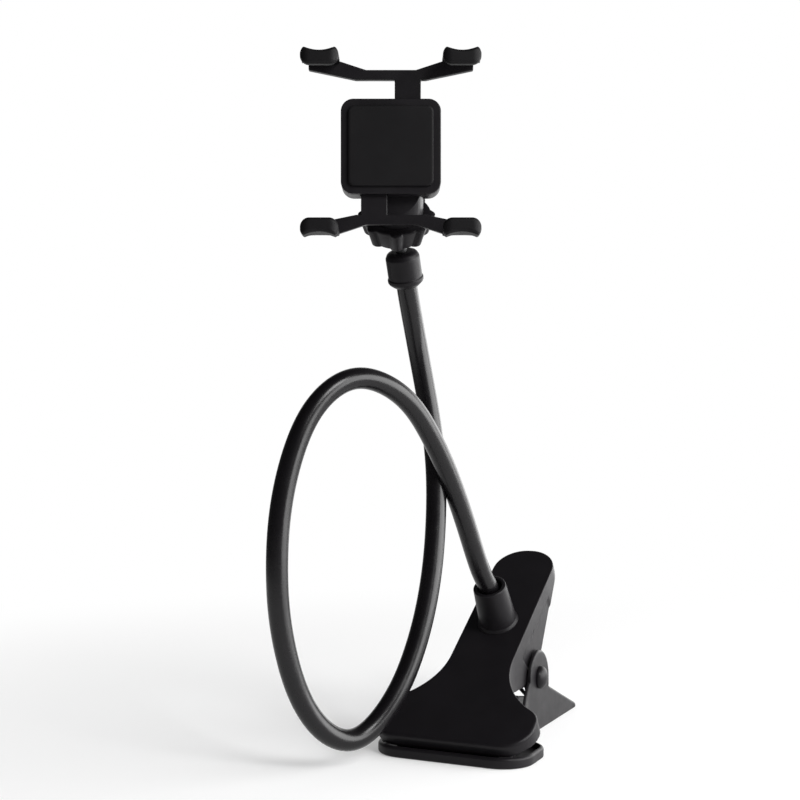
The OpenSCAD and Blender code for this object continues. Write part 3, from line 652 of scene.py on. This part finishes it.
def solid_copy(name, new_name, flatten=False):
    """A node's mesh on a new object, welded and in the node's finish."""
    mesh = frame["nodes"][name].data.copy()
    mesh.name = new_name
    with editing(mesh) as b:
        bmesh.ops.remove_doubles(b, verts=b.verts, dist=WELD)
        if flatten:
            bmesh.ops.dissolve_limit(b, angle_limit=math.radians(FLAT),
                                     verts=b.verts, edges=b.edges)
    mesh.materials.clear()
    mesh.materials.append(MATERIALS[SLOTS[name]])
    return linked(new_name, mesh)


# Pieces that keep their solid's shape get soft edges
def softened(name, new_name, width, segments=2):
    source = frame["nodes"][name]
    obj = solid_copy(name, new_name, flatten=True)
    bevel = obj.modifiers.new("edges", "BEVEL")
    bevel.width = width * MM
    bevel.segments = segments
    bevel.limit_method = "ANGLE"
    bevel.angle_limit = math.radians(35)
    bevel.use_clamp_overlap = True
    bevel.harden_normals = True
    shade(obj.data, 40)
    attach(obj, body_of(source)[0])
    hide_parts(name)


softened("cradle_rear_housing", "housing_back", 0.8, 3)
softened("cradle_front_cover", "housing_front", 0.6, 3)
softened("upper_slide", "slide_bar_upper", 0.35)
softened("lower_slide", "slide_bar_lower", 0.35)
softened("front_jaw_pad", "jaw_pad_front", 0.15)
softened("rear_jaw_pad", "jaw_pad_rear", 0.15)


# The springs bend or shorten between the two bodies that they press apart or pull together
def spring(name, new_name, levels, held_by, held_at, moved_by, moved_at):
    obj = solid_copy(name, new_name)
    obj.data.shade_smooth()
    rounder = obj.modifiers.new("round", "SUBSURF")
    rounder.levels = rounder.render_levels = levels
    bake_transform(obj, held_by, moved_by, start=held_at * MM, end=moved_at * MM)
    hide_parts(name)


COIL_HALF = 7.5
SPRING_LOW, SPRING_HIGH = Vector((0, 0, -5.3)), Vector((0, 0, 16.9))
spring("torsion_spring", "clip_spring", 2, "clip_rear", CLIP @ Vector((COIL_HALF, 0, PIN_H)),
       "front_arm", CLIP @ Vector((-COIL_HALF, 0, PIN_H)))
spring("upper_spring", "claw_spring_upper", 1, "cradle", CRADLE @ SPRING_HIGH,
       "upper_grip", CRADLE @ SPRING_LOW)
spring("lower_spring", "claw_spring_lower", 1, "cradle", FLIPPED @ SPRING_HIGH,
       "lower_grip", FLIPPED @ SPRING_LOW)


# The rubber claws
def ellipse_fall(u, start, reach):
    """1 up to start, then a quarter ellipse down to 0 at start + reach."""
    t = max(0.0, min(1.0, (u - start) / reach))
    return math.sqrt(max(0.0, 1 - t * t))


CLAW_HALF, LIP, CLAW_WALL, SADDLE = 7.5, 3.5, 2.0, 1.4
CLAW_FRONT, LIP_BACK, CLAW_BACK = -11.5, -7.3, 3.9
# Where the rounding of a claw's ends starts along it, and how far it reaches
TOP_END, LIP_END, FACE_END = (5.7, 1.85), (3.9, 3.65), (4.2, 3.4)


def claw(name, side, place, body, replaced):
    """A saddle-shaped hook, drawn as cross sections along the phone's edge."""
    rings = []
    ends = [CLAW_HALF * math.sin(t) for t in np.radians(np.linspace(0, 88.5, 19))]
    for x in [-u for u in ends[:0:-1]] + ends:
        u = abs(x)
        rise = CLAW_WALL + SADDLE * min(u / 6.1, 1.0) ** 2
        top = HALF_GAP + 0.7 + (rise - 0.7) * ellipse_fall(u, *TOP_END)
        rear_top = min(HALF_GAP + 1.8 + 0.3 * (u / CLAW_HALF) ** 2, top)
        low = HALF_GAP - (LIP + 0.12) * ellipse_fall(u, *LIP_END) + 0.02
        face = CLAW_FRONT + 2.6 * (1 - ellipse_fall(u, *FACE_END)) + 0.15 * (u / CLAW_HALF) ** 2
        heel = min(0.9, top - HALF_GAP - 0.15)
        pts = [(face, low), (LIP_BACK, low), (LIP_BACK, HALF_GAP + 0.05),
               (CLAW_BACK, HALF_GAP + 0.05), (CLAW_BACK, rear_top), (-2.5, top), (face, top)]
        rings.append([(side * CLAW_X + x, y, z)
                      for y, z in rounded(pts, [1.5, 0.9, 0.4, 0.3, 0.4, 2.5, 0.6 + heel], 6)])
    verts, faces = loft(rings)
    made = piece(name, verts, faces, place, body, "rubber", replaced, 60)
    flats = made.modifiers.new("flats", "WEIGHTED_NORMAL")
    flats.keep_sharp = True


claw("claw_upper_left", -1, CRADLE, "upper_grip", ["claw_sleeve_upper_left"])
claw("claw_upper_right", 1, CRADLE, "upper_grip", ["claw_sleeve_upper_right"])
claw("claw_lower_left", 1, FLIPPED, "lower_grip", ["claw_sleeve_lower_left"])
claw("claw_lower_right", -1, FLIPPED, "lower_grip", ["claw_sleeve_lower_right"])


# The soft pad on the cradle's front, with its face's edge rounded over in steps of (inset, level)
PAD_W, PAD_H, PAD_R = 34, 32, 2.4
PAD_STEPS = ((0.0, 1.5), (0.0, 0.5), (0.12, 0.2), (0.4, 0.04), (0.8, 0.0), (1.4, 0.0))


def rounded_rect(w, h, r, steps=8):
    return rounded([(-w / 2, -h / 2), (w / 2, -h / 2), (w / 2, h / 2), (-w / 2, h / 2)], r, steps)


pad_rings = []
for inset, y in PAD_STEPS:
    plan = rounded_rect(PAD_W - 2 * inset, PAD_H - 2 * inset, PAD_R - 0.8 * inset)
    pad_rings.append([(x, y, z) for x, z in plan])
verts, faces = loft(pad_rings)
piece("cradle_pad", verts, faces, CRADLE, "cradle", "rubber", ["cradle_front_pad"])

# Nodes that stay as they are get a finish and smooth shading
for name, obj in frame["nodes"].items():
    if obj.hide_render:
        continue
    obj.data.materials.clear()
    obj.data.materials.append(MATERIALS[SLOTS[name]])
    shade(obj.data, 35)


# Floor, world and lamps
def floor_material():
    """Pale and plain under the object, where it takes the shadow, and plain white further out."""
    material = bpy.data.materials.new("floor")
    material.use_nodes = True
    tree = material.node_tree
    link = tree.links.new
    tree.nodes.clear()
    out = node(tree, "ShaderNodeOutputMaterial")
    plain = node(tree, "ShaderNodeBsdfDiffuse", {"Color": (0.95, 0.95, 0.95, 1)})
    far = node(tree, "ShaderNodeEmission", {"Strength": 1.0})
    geometry = node(tree, "ShaderNodeNewGeometry")
    length = node(tree, "ShaderNodeVectorMath", operation="LENGTH")
    ramp = node(tree, "ShaderNodeMapRange", {"From Min": 0.05, "From Max": 0.50, "To Min": 0.25},
                interpolation_type="SMOOTHSTEP")
    mix = node(tree, "ShaderNodeMixShader")
    link(geometry.outputs["Position"], length.inputs[0])
    link(length.outputs["Value"], ramp.inputs["Value"])
    link(ramp.outputs["Result"], mix.inputs["Fac"])
    link(plain.outputs["BSDF"], mix.inputs[1])
    link(far.outputs["Emission"], mix.inputs[2])
    link(mix.outputs["Shader"], out.inputs["Surface"])
    return material


FLOOR_R, FLOOR_SIDES, FLOOR_Z = 0.62, 96, -0.0001
floor_mesh = bpy.data.meshes.new("floor")
floor_mesh.from_pydata(
    [(FLOOR_R * math.cos(a), FLOOR_R * math.sin(a), FLOOR_Z)
     for a in 2 * math.pi * np.arange(FLOOR_SIDES) / FLOOR_SIDES],
    [], [tuple(range(FLOOR_SIDES))])
floor_mesh.materials.append(floor_material())
floor = linked("floor", floor_mesh)


def make_world():
    """White to the camera and even as light.

    In what the gloss shows it is white behind the object and to its right, and dark to its left,
    in front and overhead.
    """
    world = bpy.data.worlds.new("world")
    bpy.context.scene.world = world
    world.use_nodes = True
    tree = world.node_tree
    link = tree.links.new
    tree.nodes.clear()
    out = node(tree, "ShaderNodeOutputWorld")
    place = node(tree, "ShaderNodeTexCoord")

    def ramp(direction, stops):
        along = node(tree, "ShaderNodeVectorMath", operation="DOT_PRODUCT")
        along.inputs[1].default_value = direction
        link(place.outputs["Generated"], along.inputs[0])
        half = node(tree, "ShaderNodeMapRange", {"From Min": -1})
        link(along.outputs["Value"], half.inputs["Value"])
        made = node(tree, "ShaderNodeValToRGB")
        made.color_ramp.interpolation = "EASE"
        while len(made.color_ramp.elements) < len(stops):
            made.color_ramp.elements.new(0.5)
        for element, (position, level) in zip(made.color_ramp.elements, stops):
            element.position = position
            element.color = (level, level, level, 1)
        link(half.outputs["Result"], made.inputs["Fac"])
        return made

    height = ramp((0, 0, 1), [(0.0, 1.0), (0.66, 1.0), (0.84, 0.16), (1.0, 0.12)])
    side = ramp((0.70, 0.714, 0), [(0.0, 0.05), (0.52, 0.08), (0.78, 1.0)])
    seen = node(tree, "ShaderNodeMix", {"Factor": 1.0}, data_type="RGBA", blend_type="MULTIPLY")
    link(height.outputs["Color"], seen.inputs["A"])
    link(side.outputs["Color"], seen.inputs["B"])
    even = node(tree, "ShaderNodeBackground", {"Color": (1, 1, 1, 1), "Strength": 0.32})
    gloss = node(tree, "ShaderNodeBackground")
    link(seen.outputs["Result"], gloss.inputs["Color"])
    white = node(tree, "ShaderNodeBackground", {"Color": (1, 1, 1, 1)})

    rays = node(tree, "ShaderNodeLightPath")
    through = node(tree, "ShaderNodeMath", operation="MAXIMUM")
    link(rays.outputs["Is Glossy Ray"], through.inputs[0])
    link(rays.outputs["Is Transmission Ray"], through.inputs[1])
    shiny = node(tree, "ShaderNodeMixShader")
    link(through.outputs["Value"], shiny.inputs["Fac"])
    link(even.outputs["Background"], shiny.inputs[1])
    link(gloss.outputs["Background"], shiny.inputs[2])
    shown = node(tree, "ShaderNodeMixShader")
    link(rays.outputs["Is Camera Ray"], shown.inputs["Fac"])
    link(shiny.outputs["Shader"], shown.inputs[1])
    link(white.outputs["Background"], shown.inputs[2])
    link(shown.outputs["Shader"], out.inputs["Surface"])


make_world()

# The point on the object that the lamps are turned to
AIM = Vector((-0.04, -0.05, 0.12))


def lamp(name, place, width, height, watts):
    data = bpy.data.lights.new(name, "AREA")
    data.shape = "RECTANGLE"
    data.size, data.size_y = width, height
    data.energy = watts
    obj = linked(name, data)
    obj.location = place
    obj.rotation_euler = (Vector(place) - AIM).to_track_quat("Z", "Y").to_euler()


lamp("key", (0.46, -0.78, 0.66), 0.34, 0.34, 6)
lamp("right", (1.04, -0.30, 0.34), 1.30, 0.85, 25)
lamp("back_right", (0.86, 0.78, 0.26), 1.00, 0.65, 6)

bpy.context.scene.view_settings.view_transform = "Standard"
